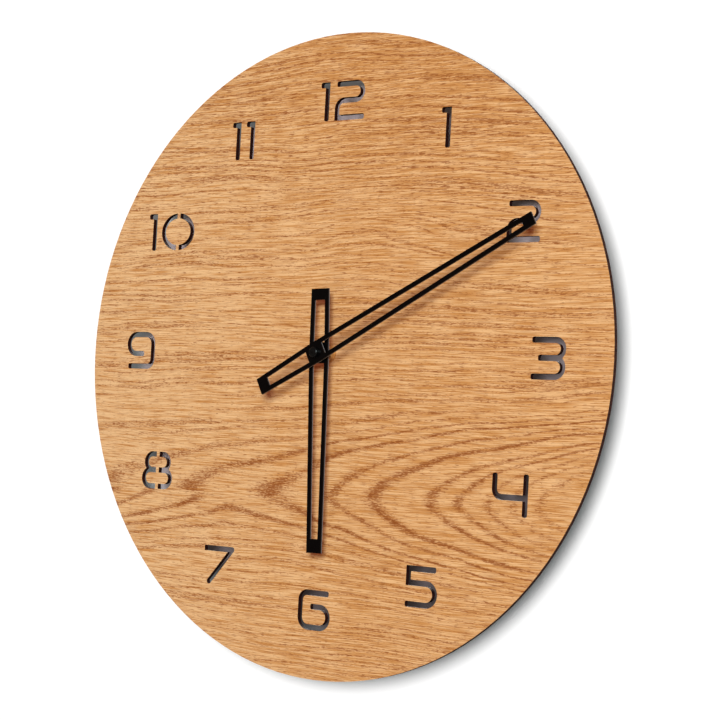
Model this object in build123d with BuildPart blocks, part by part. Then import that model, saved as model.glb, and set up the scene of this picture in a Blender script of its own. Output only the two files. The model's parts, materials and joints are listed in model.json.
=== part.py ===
from build123d import *
from math import acos, cos, degrees, radians, sin, tan
import os

# A round oak dial with its numerals cut through it, two skeleton hands and a battery movement.
# Millimetres. X points right and Z up as seen from the room, which is on the -Y side.
# A level is a distance from the wall towards the room.

# Dial board and numerals
dial_diameter = 400
board_thickness = 3
numeral_rim_distance = 42.25
numeral_height = 24.6
numeral_stroke = 3.5
stroke_end_radius = 1.2
stencil_bridge = 2.5
digit_gap = 4.5
digit_width = {0: 28.7, 1: 7.1, 2: 22.8, 3: 22.6, 4: 24.5, 5: 22.8, 6: 25.0, 7: 24.9, 8: 26.6, 9: 25.0}
waist_height = 0.2
bowl_height = 2.15
crossbar_height = -1.4
digit_corner = 4.65
six_heel = 6.25
two_lead = 1.0
two_shoulder = 5.0
three_arm = 6.9
five_top_inset = 1.4
six_top_inset = 1.8
six_arm = 3.0
seven_foot = 7.4
eight_top_width = 23.0

# Hands
hand_thickness = 1.5
hand_bar = 2.6
hub_block_length = 12.8
hour_tip_length = 122.3
hour_tail_length = 39.6
hour_hub_width = 14.4
hour_tip_width = 10.8
hour_tail_width = 12.9
hour_tip_block = 8.5
hour_tail_block = 6.9
hour_dial_angle = 177.8
minute_tip_length = 170.4
minute_tail_length = 48
minute_hub_width = 13
minute_tip_width = 7.6
minute_tail_width = 10.5
minute_end_block = 7.6
minute_dial_angle = 62.4
collet_wall = 1.4
hour_collet_length = 2.4
minute_collet_length = 1.6
cap_diameter = 6.3
cap_height = 2.4
cap_crown = 0.6
cap_wall = 0.6

# Clamping of the dial on the bush
bush_diameter = 8
bush_showing = 2.2
gasket_diameter = 28
gasket_thickness = 1
washer_diameter = 12
washer_thickness = 0.8
nut_across_flats = 10
nut_turn = 30
nut_thickness = 2.5
nut_chamfer = 0.4
hour_hand_gap = 3
hand_gap = 2.1

# Fits
slip_fit = 0.02
running_fit = 0.05
clamp_play = 0.15
end_play = 0.2

# Case
case_wall = 1.2
case_corner = 3
rear_shell_depth = 12
lip_depth = 1.8
lip_thickness = 0.9
post_radius = 2
post_pad = 3
boss_radius = 1.5
peg_radius = 0.6
ear_width = 20
ear_thickness = 2
keyhole_radius = 4
keyhole_slot_radius = 2
keyhole_lift = 6
ear_margin = 3

# Toothed wheels
train_module = 0.25
motor_module = 0.2
motion_module = 0.25
pressure_angle = 25
tooth_addendum = 0.6
tooth_dedendum = 0.85
tooth_share = 0.44
rotor_teeth = 12
intermediate_teeth = 60
intermediate_pinion_teeth = 10
seconds_teeth = 60
seconds_pinion_teeth = 8
third_teeth = 60
third_pinion_teeth = 8
centre_teeth = 64
cannon_teeth = 12
minute_teeth = 36
minute_pinion_teeth = 10
hour_teeth = 40
setting_teeth = 12
third_bearing = 180
intermediate_bearing = 75
rotor_bearing = 30
motion_bearing = -20

# Wheel levels and arbors
wheel_thickness = 0.9
wheel_gap = 0.8
hour_wheel_thickness = 1.3
cannon_pinion_length = 2
spring_height = 0.75
spring_thickness = 0.25
spring_diameter = 6
bridge_thickness = 1.1
screw_head_height = 1
screw_head_radius = 1.8
screw_radius = 0.95
screw_length = 6
arbor_radius = 0.5
pivot_radius = 0.4
pivot_length = 1.6
collar_radius = 0.9
collar_length = 0.8
minute_arbor_radius = 1
arbor_flange_radius = 2
arbor_flange_thickness = 0.8
cannon_tube_diameter = 3.5
hour_tube_diameter = 5.1
stud_radius = 0.6
setting_arbor_radius = 1
knob_diameter = 9
knob_thickness = 2.2
knob_flutes = 18
knob_flute_radius = 0.5
knob_inset = 0.4
recess_play = 0.5

# Stepping motor
magnet_diameter = 5
magnet_length = 2.8
air_gap = 0.7
stator_half_height = 4.5
stator_thickness = 0.8
stator_leg = 3
stator_play = 0.85
core_width = 2.2
core_thickness = 0.8
bobbin_tube_radius = 1.9
bobbin_flange_radius = 3.5
bobbin_flange_thickness = 1
bobbin_end_gap = 0.5
winding_radius = 3.1
coil_play = 1.45

# Electronics and cell
battery_diameter = 14.5
battery_length = 50.5
battery_nub_diameter = 5.5
battery_nub_length = 1.2
battery_inset = 0.65
battery_crimp = 0.5
contact_room = 1.55
contact_thickness = 0.3
contact_width = 4.4
contact_tongue_span = 9
board_margin = 1.3
circuit_thickness = 1
circuit_post_inset = 2.5
crystal_radius = 1
crystal_length = 6
chip_radius = 2.8
chip_height = 1.1
chip_crown = 0.5


def polar(axis, distance, bearing):
    """A point at a distance and a bearing, in degrees from +X towards +Z, from an axis."""
    return (axis[0] + distance * cos(radians(bearing)), axis[1] + distance * sin(radians(bearing)))


# Wheel centres, worked out from the teeth
third_distance = train_module * (seconds_pinion_teeth + third_teeth) / 2
centre_module = 2 * third_distance / (third_pinion_teeth + centre_teeth)
intermediate_distance = train_module * (intermediate_pinion_teeth + seconds_teeth) / 2
rotor_distance = motor_module * (rotor_teeth + intermediate_teeth) / 2
motion_distance = motion_module * (cannon_teeth + minute_teeth) / 2
hour_module = 2 * motion_distance / (minute_pinion_teeth + hour_teeth)
setting_distance = motion_module * (setting_teeth + minute_teeth) / 2
hand_axis = (0, 0)
third_axis = polar(hand_axis, third_distance, third_bearing)
intermediate_axis = polar(hand_axis, intermediate_distance, intermediate_bearing)
rotor_axis = polar(intermediate_axis, rotor_distance, rotor_bearing)
minute_axis = polar(hand_axis, motion_distance, motion_bearing)
setting_axis = polar(minute_axis, setting_distance, motion_bearing)


def wheel_reach(teeth, module):
    """The radius of a wheel over its teeth."""
    return module * (teeth / 2 + tooth_addendum)


third_reach = wheel_reach(third_teeth, train_module)
intermediate_reach = wheel_reach(intermediate_teeth, motor_module)

# Levels of the wheel stack, from the wall
floor_front = case_wall
screw_back = floor_front + end_play / 2
bridge_back = screw_back + screw_head_height
bridge_front = bridge_back + bridge_thickness
train_back = bridge_front + end_play
intermediate_back = train_back + end_play
intermediate_front = intermediate_back + wheel_thickness
seconds_back = intermediate_front + wheel_gap
seconds_front = seconds_back + wheel_thickness
third_back = seconds_front + wheel_gap
third_front = third_back + wheel_thickness
seconds_pinion_front = third_front + end_play / 2
arbor_back = seconds_pinion_front + end_play
flange_front = arbor_back + arbor_flange_thickness
centre_back = flange_front + slip_fit
centre_front = centre_back + wheel_thickness
third_pinion_front = centre_front + wheel_gap / 2
cannon_back = centre_front + slip_fit + spring_height
cannon_front = cannon_back + cannon_pinion_length
minute_wheel_back = cannon_back + wheel_gap / 2
minute_wheel_front = minute_wheel_back + wheel_thickness
hour_wheel_back = cannon_front + wheel_gap / 2
hour_wheel_front = hour_wheel_back + hour_wheel_thickness
battery_radius = battery_diameter / 2
battery_level = battery_inset + battery_radius
battery_front = battery_inset + battery_diameter
front_wall_back = max(hour_wheel_front + 2 * end_play, battery_front + clamp_play)
case_front = front_wall_back + case_wall
lip_back = rear_shell_depth - lip_depth

# Levels of the dial, its clamp and the hands
gasket_front = case_front + gasket_thickness
dial_front = gasket_front + board_thickness
washer_front = dial_front + washer_thickness
nut_front = washer_front + nut_thickness
bush_front = nut_front + bush_showing
hour_hand_back = bush_front + hour_hand_gap
hour_hand_front = hour_hand_back + hand_thickness
minute_hand_back = hour_hand_front + hand_gap
minute_hand_front = minute_hand_back + hand_thickness
cap_front = minute_hand_front + cap_height
bush_radius = bush_diameter / 2
hour_tube_radius = hour_tube_diameter / 2
cannon_tube_radius = cannon_tube_diameter / 2

# Case outline, set by the cell below the wheels and the coil above them
recess_radius = knob_diameter / 2 + recess_play
recess_front = knob_inset + knob_thickness + end_play
partition_top = setting_axis[1] - recess_radius - 2 * case_wall / 3
partition_bottom = partition_top - case_wall
battery_axis = partition_bottom - clamp_play - battery_radius
lip_room = lip_thickness + running_fit + clamp_play
case_bottom = battery_axis - battery_radius - lip_room - case_wall
inner_half_width = battery_length / 2 + contact_room
case_half_width = inner_half_width + case_wall
stator_left = intermediate_axis[0] + arbor_radius + stator_play
stator_right = inner_half_width - 2 * coil_play
stator_top = rotor_axis[1] + stator_half_height
core_axis = stator_top + coil_play + bobbin_flange_radius
case_top = core_axis + bobbin_flange_radius + lip_room + stator_play + case_wall
case_height = case_top - case_bottom
case_middle = (0, (case_top + case_bottom) / 2)

# Motor and board levels
magnet_back = seconds_back + wheel_gap / 2
magnet_front = magnet_back + magnet_length
stator_back = (magnet_back + magnet_front - stator_thickness) / 2
stator_front = stator_back + stator_thickness
core_front = stator_front + core_thickness
core_level = stator_front + core_thickness / 2
circuit_front = lip_back - end_play
circuit_back = circuit_front - circuit_thickness

# Posts that hold the bridge, the stator and the circuit board
bridge_posts = [
    (third_axis[0] - third_reach - post_pad, third_axis[1]),
    (setting_axis[0] + recess_radius + case_wall, rotor_axis[1] - stator_half_height - post_pad),
    (intermediate_axis[0] - intermediate_reach - post_radius - end_play, stator_top),
]
stator_post_height = (stator_top + core_axis - core_width / 2) / 2
stator_posts = [
    (stator_left + stator_leg / 2, stator_post_height),
    (stator_right - stator_leg / 2, stator_post_height),
]
circuit_left = board_margin - inner_half_width
circuit_right = bridge_posts[2][0] - post_radius - end_play
circuit_bottom = third_axis[1] + third_reach + board_margin
circuit_top = case_top - case_wall - board_margin
circuit_posts = [
    (circuit_left + circuit_post_inset, circuit_top - circuit_post_inset),
    (circuit_right - circuit_post_inset, circuit_top - circuit_post_inset),
    (circuit_right - circuit_post_inset, circuit_bottom + circuit_post_inset),
]


def face_on(level):
    """A drawing plane that faces the room, at a level."""
    return Plane.XZ.offset(level)


def disc(axis, radius, back, front, mode=Mode.ADD):
    """A round boss, or a round hole, between two levels of the part being built."""
    with BuildSketch(face_on(back)) as outline:
        with Locations(axis):
            Circle(radius)
    extrude(outline.sketch, amount=front - back, mode=mode)


def block(left, right, bottom, top, back, front, mode=Mode.ADD):
    """A straight-sided block, or a cut, between two levels of the part being built."""
    with BuildSketch(face_on(back)) as outline:
        with Locations(((left + right) / 2, (bottom + top) / 2)):
            Rectangle(right - left, top - bottom)
    extrude(outline.sketch, amount=front - back, mode=mode)


def shell_block(inset, back, front, mode=Mode.ADD):
    """The case's rounded outline, drawn in by an inset, between two levels."""
    width = 2 * (case_half_width - inset)
    height = case_height - 2 * inset
    corner = max(case_corner - inset, case_wall / 2)
    with BuildSketch(face_on(back)) as outline:
        with Locations(case_middle):
            RectangleRounded(width, height, corner)
    extrude(outline.sketch, amount=front - back, mode=mode)


def gear(axis, teeth, module, turn, back, front):
    """Involute teeth on a disc, the first tooth at a turn in degrees from +X."""
    pitch_radius = teeth * module / 2
    base_radius = pitch_radius * cos(radians(pressure_angle))
    flank_radii = [
        pitch_radius - tooth_dedendum * module,
        pitch_radius,
        pitch_radius + tooth_addendum * module,
    ]

    def unrolled(radius):
        angle = acos(min(1, base_radius / radius))
        return degrees(tan(angle) - angle)

    half_tooth = 180 * tooth_share / teeth + unrolled(pitch_radius)
    points = []
    for tooth in range(teeth):
        middle = turn + 360 * tooth / teeth
        rising = [polar((0, 0), r, middle - half_tooth + unrolled(r)) for r in flank_radii]
        falling = [polar((0, 0), r, middle + half_tooth - unrolled(r)) for r in reversed(flank_radii)]
        points += rising + falling
    with BuildSketch(face_on(back)) as outline:
        with Locations(axis):
            Polygon(*points, align=None)
    extrude(outline.sketch, amount=front - back)


def in_mesh(bearing, turn, teeth, driven_teeth):
    """The turn of a driven wheel whose tooth gaps meet a wheel's teeth along a bearing."""
    return bearing + 180 - 180 / driven_teeth + (bearing - turn) * teeth / driven_teeth


def strokes(*lines):
    """A digit made of strokes of one width, with its free ends eased."""
    with BuildSketch() as digit:
        for line in lines:
            trace(line.line, line_width=numeral_stroke)
        tips = [tip for line in lines for tip in (line.line @ 0, line.line @ 1)]
        near = numeral_stroke / 2 + slip_fit
        corners = [v for v in digit.vertices() if min((v.center() - tip).length for tip in tips) < near]
        fillet(corners, stroke_end_radius)
    return digit.sketch


# Digits, each drawn about its own middle
numeral_circle_radius = dial_diameter / 2 - numeral_rim_distance
cap_line = (numeral_height - numeral_stroke) / 2


def side(digit):
    """The distance from a digit's middle to the centre of its outer strokes."""
    return (digit_width[digit] - numeral_stroke) / 2


def digit_zero():
    with BuildSketch() as digit:
        Ellipse(digit_width[0] / 2, numeral_height / 2)
        Ellipse(digit_width[0] / 2 - numeral_stroke, numeral_height / 2 - numeral_stroke, mode=Mode.SUBTRACT)
        Rectangle(stencil_bridge, numeral_height, mode=Mode.SUBTRACT)
    return digit.sketch


def digit_one():
    with BuildLine() as stem:
        Polyline((-digit_width[1] / 2, cap_line), (side(1), cap_line), (side(1), -numeral_height / 2))
    return strokes(stem)


def digit_two():
    bend = (cap_line - waist_height) / 2
    with BuildLine() as stem:
        top = Line((two_lead - digit_width[2] / 2, cap_line), (side(2) - bend, cap_line))
        lobe = JernArc(top @ 1, top % 1, bend, -180)
        waist = Line(lobe @ 1, (two_shoulder - side(2), waist_height))
        shoulder = JernArc(waist @ 1, waist % 1, two_shoulder, 90)
        Polyline(shoulder @ 1, (-side(2), -cap_line), (digit_width[2] / 2, -cap_line))
    return strokes(stem)


def digit_three():
    upper_bend = (cap_line - waist_height) / 2
    lower_bend = (cap_line + waist_height) / 2
    with BuildLine() as upper:
        top = Line((-digit_width[3] / 2, cap_line), (side(3) - upper_bend, cap_line))
        lobe = JernArc(top @ 1, top % 1, upper_bend, -180)
        Line(lobe @ 1, (-three_arm, waist_height))
    with BuildLine() as lower:
        foot = Line((-digit_width[3] / 2, -cap_line), (side(3) - lower_bend, -cap_line))
        lobe = JernArc(foot @ 1, foot % 1, lower_bend, 180)
        Line(lobe @ 1, (0, waist_height))
    return strokes(upper, lower)


def digit_four():
    with BuildLine() as arm:
        stem = Line((-side(4), numeral_height / 2), (-side(4), crossbar_height + digit_corner))
        bend = JernArc(stem @ 1, stem % 1, digit_corner, 90)
        Line(bend @ 1, (side(4), crossbar_height))
    with BuildLine() as post:
        Line((side(4), numeral_height / 2), (side(4), -numeral_height / 2))
    return strokes(arm, post)


def digit_five():
    bend = (cap_line + bowl_height) / 2
    with BuildLine() as stem:
        head = Polyline(
            (digit_width[5] / 2 - five_top_inset, cap_line),
            (-side(5), cap_line),
            (-side(5), bowl_height),
            (side(5) - bend, bowl_height),
        )
        bowl = JernArc(head @ 1, head % 1, bend, -180)
        Line(bowl @ 1, (-digit_width[5] / 2, -cap_line))
    return strokes(stem)


def digit_six():
    bend = (cap_line + bowl_height) / 2
    with BuildLine() as stem:
        top = Line((digit_width[6] / 2 - six_top_inset, cap_line), (digit_corner - side(6), cap_line))
        shoulder = JernArc(top @ 1, top % 1, digit_corner, 90)
        back = Line(shoulder @ 1, (-side(6), six_heel - cap_line))
        heel = JernArc(back @ 1, back % 1, six_heel, 90)
        foot = Line(heel @ 1, (side(6) - bend, -cap_line))
        bowl = JernArc(foot @ 1, foot % 1, bend, 180)
        Line(bowl @ 1, (-six_arm, bowl_height))
    return strokes(stem)


def digit_seven():
    with BuildLine() as bar:
        Line((-digit_width[7] / 2, cap_line), (side(7), cap_line))
    with BuildLine() as leg:
        Line((side(7), cap_line), (-seven_foot, -cap_line))
    with BuildSketch() as digit:
        for line in (bar, leg):
            trace(line.line, line_width=numeral_stroke)
        with Locations((side(7), cap_line), (-seven_foot, -cap_line)):
            Circle(numeral_stroke / 2)
    return digit.sketch


def digit_eight():
    upper_height = numeral_height / 2 - waist_height + numeral_stroke / 2
    lower_height = numeral_height / 2 + waist_height + numeral_stroke / 2
    lobes = [
        (eight_top_width, upper_height, (numeral_height - upper_height) / 2),
        (digit_width[8], lower_height, (lower_height - numeral_height) / 2),
    ]
    with BuildSketch() as digit:
        for width, height, middle in lobes:
            with Locations((0, middle)):
                SlotOverall(width, height)
        for width, height, middle in lobes:
            with Locations((0, middle)):
                SlotOverall(width - 2 * numeral_stroke, height - 2 * numeral_stroke, mode=Mode.SUBTRACT)
        Rectangle(stencil_bridge, numeral_height, mode=Mode.SUBTRACT)
    return digit.sketch


def digit_nine():
    return digit_six().rotate(Axis.Z, 180)


digits = [
    digit_zero(),
    digit_one(),
    digit_two(),
    digit_three(),
    digit_four(),
    digit_five(),
    digit_six(),
    digit_seven(),
    digit_eight(),
    digit_nine(),
]


def digit_places(hour):
    """Each digit of an hour with its place, set side by side about the numeral circle."""
    middle = polar(hand_axis, numeral_circle_radius, 90 - 30 * hour)
    names = [int(name) for name in str(hour)]
    width = sum(digit_width[name] for name in names) + digit_gap * (len(names) - 1)
    left = middle[0] - width / 2
    places = []
    for name in names:
        places.append((digits[name], (left + digit_width[name] / 2, middle[1])))
        left += digit_width[name] + digit_gap
    return places


# Dial
with BuildPart() as dial_board:
    with BuildSketch(face_on(gasket_front)):
        Circle(dial_diameter / 2)
        Circle(bush_radius + clamp_play, mode=Mode.SUBTRACT)
        for hour in range(1, 13):
            for digit, place in digit_places(hour):
                with Locations(place):
                    add(digit, mode=Mode.SUBTRACT)
    extrude(amount=board_thickness)

with BuildPart() as dial_gasket:
    disc(hand_axis, gasket_diameter / 2, case_front, gasket_front)
    disc(hand_axis, bush_radius + slip_fit, case_front, gasket_front, Mode.SUBTRACT)

with BuildPart() as dial_washer:
    disc(hand_axis, washer_diameter / 2, dial_front, washer_front)
    disc(hand_axis, bush_radius + clamp_play, dial_front, washer_front, Mode.SUBTRACT)

with BuildPart() as dial_nut:
    with BuildSketch(face_on(washer_front)):
        RegularPolygon(nut_across_flats / 2, 6, major_radius=False, rotation=nut_turn)
    extrude(amount=nut_thickness)
    chamfer(dial_nut.faces().sort_by(Axis.Y)[0].edges(), nut_chamfer)
    disc(hand_axis, bush_radius + slip_fit, washer_front, nut_front, Mode.SUBTRACT)


# Hands
def hand_outline(bar, widths, lengths, blocks):
    """A skeleton hand that points up: a tapered frame with a window on each side of its hub."""
    tail_width, hub_width, tip_width = widths
    tail_length, tip_length = lengths
    tail_block, tip_block = blocks

    def half_width(height):
        length, width = (tip_length, tip_width) if height > 0 else (-tail_length, tail_width)
        return (hub_width + (width - hub_width) * height / length) / 2

    with BuildSketch() as outline:
        right = [(half_width(h), h) for h in (-tail_length, 0, tip_length)]
        left = [(-x, h) for x, h in reversed(right)]
        Polygon(*right, *left, align=None)
        for low, high in (
            (tail_block - tail_length, -hub_block_length / 2),
            (hub_block_length / 2, tip_length - tip_block),
        ):
            right = [(half_width(h) - bar, h) for h in (low, high)]
            left = [(-x, h) for x, h in reversed(right)]
            Polygon(*right, *left, align=None, mode=Mode.SUBTRACT)
    return outline.sketch


with BuildPart() as hour_hand:
    with BuildSketch(face_on(hour_hand_back)):
        add(
            hand_outline(
                hand_bar,
                (hour_tail_width, hour_hub_width, hour_tip_width),
                (hour_tail_length, hour_tip_length),
                (hour_tail_block, hour_tip_block),
            ),
            rotation=-hour_dial_angle,
        )
        Circle(hour_tube_radius + slip_fit, mode=Mode.SUBTRACT)
    extrude(amount=hand_thickness)

with BuildPart() as minute_hand:
    with BuildSketch(face_on(minute_hand_back)):
        add(
            hand_outline(
                hand_bar,
                (minute_tail_width, minute_hub_width, minute_tip_width),
                (minute_tail_length, minute_tip_length),
                (minute_end_block, minute_end_block),
            ),
            rotation=-minute_dial_angle,
        )
        Circle(cannon_tube_radius + slip_fit, mode=Mode.SUBTRACT)
    extrude(amount=hand_thickness)

with BuildPart() as hour_hand_collet:
    collet_back = hour_hand_back - hour_collet_length
    disc(hand_axis, hour_tube_radius + collet_wall, collet_back, hour_hand_back)
    disc(hand_axis, hour_tube_radius + slip_fit, collet_back, hour_hand_back, Mode.SUBTRACT)

with BuildPart() as minute_hand_collet:
    collet_back = minute_hand_back - minute_collet_length
    disc(hand_axis, cannon_tube_radius + collet_wall, collet_back, minute_hand_back)
    disc(hand_axis, cannon_tube_radius + slip_fit, collet_back, minute_hand_back, Mode.SUBTRACT)

with BuildPart() as hand_cap:
    disc(hand_axis, cap_diameter / 2, minute_hand_front, cap_front)
    fillet(hand_cap.faces().sort_by(Axis.Y)[0].edges(), cap_crown)
    disc(hand_axis, minute_arbor_radius + slip_fit, minute_hand_front, cap_front - cap_wall, Mode.SUBTRACT)

# Case
with BuildPart() as front_case:
    shell_block(0, rear_shell_depth, case_front)
    shell_block(case_wall + running_fit, lip_back, rear_shell_depth)
    shell_block(case_wall + running_fit + lip_thickness, lip_back, front_wall_back, Mode.SUBTRACT)
    disc(hand_axis, bush_radius, case_front, bush_front)
    for post in bridge_posts:
        disc(post, post_radius, bridge_front, front_wall_back)
        disc(post, screw_radius + running_fit, bridge_front, bridge_front + screw_length, Mode.SUBTRACT)
    for post in stator_posts:
        disc(post, 2 * peg_radius, stator_front, front_wall_back)
        disc(post, peg_radius, stator_back - end_play, stator_front)
    for post in circuit_posts:
        disc(post, boss_radius, circuit_front, front_wall_back)
        disc(post, peg_radius, circuit_back - end_play, circuit_front)
    disc(minute_axis, stud_radius, minute_wheel_back - end_play, front_wall_back)
    for axis, radius, back in (
        (third_axis, arbor_radius, third_pinion_front + end_play),
        (intermediate_axis, arbor_radius, centre_front + wheel_gap),
        (rotor_axis, pivot_radius, magnet_front + end_play),
        (setting_axis, stud_radius, minute_wheel_front + wheel_gap),
    ):
        disc(axis, boss_radius, back, front_wall_back)
        disc(axis, radius + running_fit, back, back + pivot_length, Mode.SUBTRACT)
    disc(hand_axis, hour_tube_radius + running_fit, front_wall_back, bush_front, Mode.SUBTRACT)

with BuildPart() as rear_case:
    shell_block(0, 0, rear_shell_depth)
    shell_block(case_wall, floor_front, rear_shell_depth, Mode.SUBTRACT)
    bay_bottom = case_bottom + case_wall
    block(-inner_half_width, inner_half_width, bay_bottom, partition_bottom, 0, floor_front, Mode.SUBTRACT)
    partition_half = inner_half_width - lip_room
    block(-partition_half, partition_half, partition_bottom, partition_top, 0, front_wall_back - slip_fit)
    recess_cover = recess_front + case_wall
    disc(setting_axis, recess_radius + case_wall, 0, recess_cover)
    disc(setting_axis, recess_radius, 0, recess_front, Mode.SUBTRACT)
    disc(setting_axis, setting_arbor_radius + running_fit, recess_front, recess_cover, Mode.SUBTRACT)
    keyhole_height = case_top + keyhole_radius + ear_margin / 2
    ear_top = keyhole_height + keyhole_lift + keyhole_slot_radius + ear_margin
    with BuildSketch(face_on(0)):
        with Locations((0, (case_top - case_wall + ear_top) / 2)):
            RectangleRounded(ear_width, ear_top - case_top + case_wall, case_wall / 2)
        with Locations((0, keyhole_height)):
            Circle(keyhole_radius, mode=Mode.SUBTRACT)
        with Locations((0, keyhole_height + keyhole_lift / 2)):
            SlotCenterToCenter(keyhole_lift, 2 * keyhole_slot_radius, rotation=90, mode=Mode.SUBTRACT)
    extrude(amount=ear_thickness)

# Bridge
with BuildPart() as train_bridge:
    with BuildSketch(face_on(bridge_back)):
        with BuildLine():
            for post in bridge_posts + [hand_axis, rotor_axis]:
                CenterArc(post, post_pad, 0, 360)
        make_hull()
        with Locations(setting_axis):
            Circle(recess_radius + case_wall + end_play, mode=Mode.SUBTRACT)
        with Locations(*bridge_posts):
            Circle(screw_radius + clamp_play, mode=Mode.SUBTRACT)
        with Locations(third_axis, intermediate_axis):
            Circle(arbor_radius + running_fit, mode=Mode.SUBTRACT)
        with Locations(hand_axis, rotor_axis):
            Circle(pivot_radius + running_fit, mode=Mode.SUBTRACT)
    extrude(amount=bridge_thickness)

with BuildPart() as bridge_screws:
    for post in bridge_posts:
        disc(post, screw_head_radius, screw_back, bridge_back)
        disc(post, screw_radius, bridge_back, bridge_front + screw_length - end_play)

# Minute arbor, its clutch and the centre wheel
with BuildPart() as minute_arbor:
    disc(hand_axis, arbor_flange_radius, arbor_back, flange_front)
    disc(hand_axis, minute_arbor_radius, flange_front, cap_front - cap_wall - end_play)
    disc(hand_axis, pivot_radius + running_fit, arbor_back, arbor_back + pivot_length, Mode.SUBTRACT)

with BuildPart() as clutch_spring:
    with BuildSketch(Plane.XY):
        spring_back = centre_front + slip_fit
        spring_bore = minute_arbor_radius + running_fit
        spring_rise = spring_height - spring_thickness - slip_fit
        Polygon(
            (spring_diameter / 2, -spring_back),
            (spring_diameter / 2, -spring_back - spring_thickness),
            (spring_bore, -spring_back - spring_thickness - spring_rise),
            (spring_bore, -spring_back - spring_rise),
            align=None,
        )
    revolve(axis=Axis.Y)

cannon_turn = motion_bearing
with BuildPart() as cannon_pinion:
    gear(hand_axis, cannon_teeth, motion_module, cannon_turn, cannon_back, cannon_front)
    disc(hand_axis, cannon_tube_radius, cannon_front, minute_hand_front - end_play)
    disc(hand_axis, minute_arbor_radius + slip_fit, cannon_back, minute_hand_front, Mode.SUBTRACT)

third_pinion_turn = third_bearing + 180
with BuildPart() as centre_wheel:
    turn = in_mesh(third_bearing + 180, third_pinion_turn, third_pinion_teeth, centre_teeth)
    gear(hand_axis, centre_teeth, centre_module, turn, centre_back, centre_front)
    disc(hand_axis, minute_arbor_radius + running_fit, centre_back, centre_front, Mode.SUBTRACT)

# Motion work
minute_pinion_turn = motion_bearing + 180
with BuildPart() as minute_wheel:
    turn = in_mesh(motion_bearing, cannon_turn, cannon_teeth, minute_teeth)
    gear(minute_axis, minute_teeth, motion_module, turn, minute_wheel_back, minute_wheel_front)
    pinion_front = front_wall_back - end_play
    gear(minute_axis, minute_pinion_teeth, hour_module, minute_pinion_turn, minute_wheel_front, pinion_front)
    disc(minute_axis, stud_radius + running_fit, minute_wheel_back, pinion_front, Mode.SUBTRACT)

with BuildPart() as hour_wheel:
    turn = in_mesh(motion_bearing + 180, minute_pinion_turn, minute_pinion_teeth, hour_teeth)
    gear(hand_axis, hour_teeth, hour_module, turn, hour_wheel_back, hour_wheel_front)
    disc(hand_axis, hour_tube_radius, hour_wheel_front, hour_hand_front)
    disc(hand_axis, cannon_tube_radius + running_fit, hour_wheel_back, hour_hand_front, Mode.SUBTRACT)

with BuildPart() as setting_arbor:
    minute_turn = in_mesh(motion_bearing, cannon_turn, cannon_teeth, minute_teeth)
    turn = in_mesh(motion_bearing, minute_turn, minute_teeth, setting_teeth)
    pinion_front = minute_wheel_front + wheel_gap - end_play
    gear(setting_axis, setting_teeth, motion_module, turn, minute_wheel_back - end_play, pinion_front)
    disc(setting_axis, setting_arbor_radius, 2 * knob_inset, minute_wheel_back - end_play)
    disc(setting_axis, stud_radius, pinion_front, pinion_front + pivot_length)

with BuildPart() as setting_knob:
    with BuildSketch(face_on(knob_inset)):
        with Locations(setting_axis):
            Circle(knob_diameter / 2)
            with PolarLocations(knob_diameter / 2, knob_flutes):
                Circle(knob_flute_radius, mode=Mode.SUBTRACT)
    extrude(amount=knob_thickness)
    knob_front = knob_inset + knob_thickness
    disc(setting_axis, setting_arbor_radius + slip_fit, 2 * knob_inset, knob_front, Mode.SUBTRACT)

# Going train
intermediate_pinion_turn = intermediate_bearing + 180
with BuildPart() as third_wheel:
    turn = in_mesh(third_bearing, third_bearing, seconds_pinion_teeth, third_teeth)
    gear(third_axis, third_teeth, train_module, turn, third_back, third_front)
    gear(third_axis, third_pinion_teeth, centre_module, third_pinion_turn, third_front, third_pinion_front)
    disc(third_axis, arbor_radius, bridge_back, third_pinion_front + pivot_length)
    disc(third_axis, collar_radius, train_back, train_back + collar_length)

with BuildPart() as seconds_wheel:
    turn = in_mesh(
        intermediate_bearing + 180, intermediate_pinion_turn, intermediate_pinion_teeth, seconds_teeth
    )
    gear(hand_axis, seconds_teeth, train_module, turn, seconds_back, seconds_front)
    gear(hand_axis, seconds_pinion_teeth, train_module, third_bearing, seconds_front, seconds_pinion_front)
    disc(hand_axis, pivot_radius, bridge_back, arbor_back + pivot_length - end_play)
    disc(hand_axis, collar_radius, train_back, seconds_back)

rotor_turn = rotor_bearing + 180
with BuildPart() as intermediate_wheel:
    turn = in_mesh(rotor_bearing + 180, rotor_turn, rotor_teeth, intermediate_teeth)
    gear(intermediate_axis, intermediate_teeth, motor_module, turn, intermediate_back, intermediate_front)
    gear(
        intermediate_axis,
        intermediate_pinion_teeth,
        train_module,
        intermediate_pinion_turn,
        intermediate_front,
        seconds_front + end_play,
    )
    disc(intermediate_axis, arbor_radius, bridge_back, centre_front + wheel_gap + pivot_length - end_play)
    disc(intermediate_axis, collar_radius, train_back, intermediate_back)

with BuildPart() as rotor_pinion:
    gear(rotor_axis, rotor_teeth, motor_module, rotor_turn, train_back, intermediate_front + end_play)
    disc(rotor_axis, pivot_radius, bridge_back, magnet_front + pivot_length)

with BuildPart() as rotor_magnet:
    disc(rotor_axis, magnet_diameter / 2, magnet_back, magnet_front)
    disc(rotor_axis, pivot_radius + slip_fit, magnet_back, magnet_front, Mode.SUBTRACT)

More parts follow.
